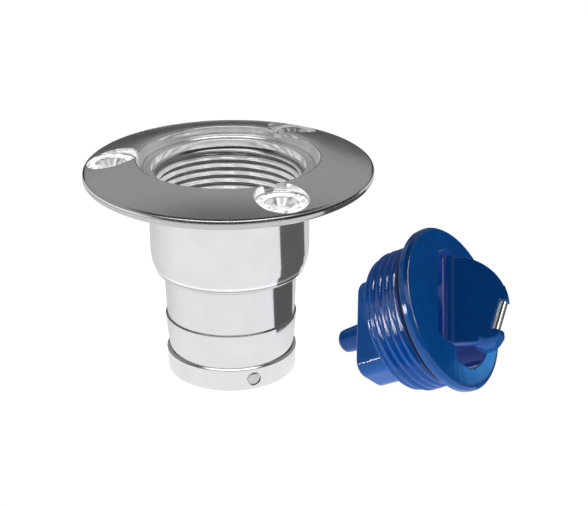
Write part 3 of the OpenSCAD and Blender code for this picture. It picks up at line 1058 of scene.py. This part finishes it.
def build_dark_card():
    """Dark card lying on the floor to the camera's right, seen only in reflections: a painted
    dark reflection.
    """
    height = FLOOR_Z + 0.0006
    verts = [polar(0.043, 15 + 4.3 * k, height) for k in range(14)]
    verts += [polar(0.30, 71 - 4.0 * k, height) for k in range(15)]
    mirror_card("dark_card", verts, [tuple(range(len(verts)))],
                colour=(0.5, 0.5, 0.51), strength=0.21)


def build_dark_wall():
    """Low dark wall round the far right side, seen only in reflections: a painted dark
    reflection that keeps the cap's face deep blue.
    """
    verts = [polar(0.45, -15 + 5 * k, z) for k in range(37) for z in (FLOOR_Z + 0.001, 0.060)]
    faces = [(2 * k, 2 * k + 2, 2 * k + 3, 2 * k + 1) for k in range(36)]
    mirror_card("dark_wall", verts, faces, colour=(0.5, 0.5, 0.52), strength=0.06)


# ------------------------------------------------------------------ lamps
def area_lamp(name, location, rotation, size, size_y, radiance, receivers):
    """An area lamp that draws only highlights, and only on its receivers."""
    data = bpy.data.lights.new(name, "AREA")
    data.shape = "RECTANGLE"
    data.size, data.size_y = size, size_y
    data.energy = radiance * math.pi * data.size * data.size_y
    lamp = bpy.data.objects.new(name, data)
    scene.collection.objects.link(lamp)
    lamp.location = location
    lamp.rotation_mode = "QUATERNION"
    lamp.rotation_quaternion = rotation
    lamp.visible_camera = False
    lamp.visible_diffuse = False
    lamp.light_linking.receiver_collection = receivers
    return lamp


def strip_lamp(name, direction, along, distance, target, **settings):
    """A lamp seen from the target in one direction, its size laid along another."""
    out = Vector(direction).normalized()
    long_axis = Vector(along)
    long_axis = (long_axis - out * long_axis.dot(out)).normalized()
    axes = Matrix((long_axis, out.cross(long_axis), out)).transposed()
    return area_lamp(name, target + out * distance, axes.to_quaternion(), **settings)


def collect(name, objects):
    collection = bpy.data.collections.new(name)
    for obj in objects:
        collection.objects.link(obj)
    return collection


def build_lamps(moulded, cap_parts):
    out = (HEADING @ Vector((-0.93, -0.325, 0.134))).normalized()
    area_lamp("soft_left", CAP_MIDDLE + out * 0.55, out.to_track_quat("Z", "Y"),
              size=0.07, size_y=0.12, radiance=26.0, receivers=moulded)
    strip_lamp("lamp_strip", direction=(0.72, 0.25, 0.65), along=(-0.49, 0.50, 0.20),
               distance=0.55, target=CAP_MIDDLE, size=0.50, size_y=0.07, radiance=26.0,
               receivers=cap_parts)
    # low blue panel behind the cap, mirrored in the bottom of its disc
    back, side = Vector((0.461, 0.887, 0.0)), Vector((0.887, -0.461, 0.0))
    panel = strip_lamp("low_panel", direction=back, along=side, distance=0.35,
                       target=side * 0.049 + Vector((0, 0, -0.0550)), size=0.029,
                       size_y=0.017, radiance=4.2, receivers=cap_parts)
    panel.data.color = (0.10, 0.48, 1.0)


# ------------------------------------------------------------------ world
def build_world():
    """White for the camera, dim for the rest so that polished parts mirror something dark."""
    world = bpy.data.worlds.new("studio")
    scene.world = world
    shader = Shader(world)
    camera_ray, glossy_ray = shader.values("ShaderNodeLightPath",
                                           ("Is Camera Ray", "Is Glossy Ray"))
    x, y, z = shader.split(shader.value("ShaderNodeTexCoord", "Generated"))
    diffuse = shader.ramp((z + 1.0) * 0.5, (0.0, 0.9), (0.46, 0.8), (0.50, 0.08), (1.0, 0.05))
    mirror = shader.ramp(z, (0.0, 0.04), (0.20, 0.05), (0.27, 0.33), (0.72, 0.33),
                         (0.84, 0.06), (1.0, 0.05))
    below, below_strength = z < -0.002, 0.8
    # bright band high on the camera's side
    band_start, band_edge, band_strength = 0.14, 5.0, 2.4
    camera_side = (towards_camera(x, y) - band_start).math("MULTIPLY", band_edge, clamp=True)
    band = shader.ramp(z, (0.70, 0), (0.75, 1), (0.91, 1), (0.95, 0))
    mirror = mirror + below * below_strength + band * camera_side * band_strength
    # inputs 0, 2 and 3 are the factor and the two plain numbers
    strength = shader.value("ShaderNodeMix", 0, {0: glossy_ray, 2: diffuse, 3: mirror},
                            data_type="FLOAT")
    lit = shader.value("ShaderNodeBackground", 0, {"Color": rgba(1), "Strength": strength})
    seen = shader.value("ShaderNodeBackground", 0, {"Color": rgba(1)})
    both = shader.value("ShaderNodeMixShader", 0, {0: camera_ray, 1: lit, 2: seen})
    shader.node("ShaderNodeOutputWorld", {"Surface": both})


# ------------------------------------------------------------------ assembly
flange = build_flange()
tail = build_tail()
anchor_pin = build_anchor_pin()
cap = build_cap()
seal = build_seal()
stud = build_stud()
hinge_pin = build_hinge_pin()
grip_bar = build_grip_bar()
handle = build_handle()

flange_steel = polished_steel("polished_steel", is_flange=True)
tail_steel = polished_steel("polished_steel_tail", is_flange=False)
blue = blue_plastic("blue_moulding", base=(0.0005, 0.142, 0.58), edge=(0.04, 0.28, 0.82),
                    smooth=0.07, rough=0.13)
# a darker copy of the same blue moulding: painted shade on the stud, with a slightly rougher
# finish
stud_blue_shaded = blue_plastic("blue_stud", base=(0.0005, 0.085, 0.40), edge=(0.04, 0.22, 0.66),
                         smooth=0.08, rough=0.16)
black = rubber("black_rubber")
# a darker copy of the drawn steel: painted shade on the tail's pin
tail_pin_steel_shaded = drawn_steel("steel_pin_tail_shaded", PIN_PLACE, dark=0.52, light=0.62)
hinge_steel = drawn_steel("steel_pin_hinge",
                          basis(cross_axis, cap_axis, hinge_axis, cap_origin))
bar_steel = drawn_steel("steel_pin_bar", HANDLE_FRAME @ GRIP_PLACE)

for piece, node_name, material in (
    (flange, "flange_body", flange_steel), (tail, "hose_tail", tail_steel),
    (anchor_pin, "anchor_pin", tail_pin_steel_shaded), (cap, "cap_body", blue), (seal, "cap_seal", black),
    (stud, "swivel_stud", stud_blue_shaded), (handle, "handle_plate", blue),
    (hinge_pin, "hinge_pin", hinge_steel), (grip_bar, "grip_bar", bar_steel),
):
    piece.data.materials.clear()
    piece.data.materials.append(material)
    for slot in frame["nodes"][node_name].material_slots:
        slot.material = material

build_floor()
build_camera()
build_dark_card()
build_dark_wall()
cap_pieces = (cap, seal, stud)
moulded_pieces = (*cap_pieces, hinge_pin, handle, grip_bar)
for piece in moulded_pieces:                             # the steel mirrors none of the cap
    piece.visible_glossy = False
build_lamps(collect("moulded_parts", moulded_pieces), collect("cap_parts", cap_pieces))
build_world()
scene.view_settings.view_transform = "Standard"
scene.view_settings.look = "None"
scene.view_settings.exposure = 0.0
scene.view_settings.gamma = 1.0
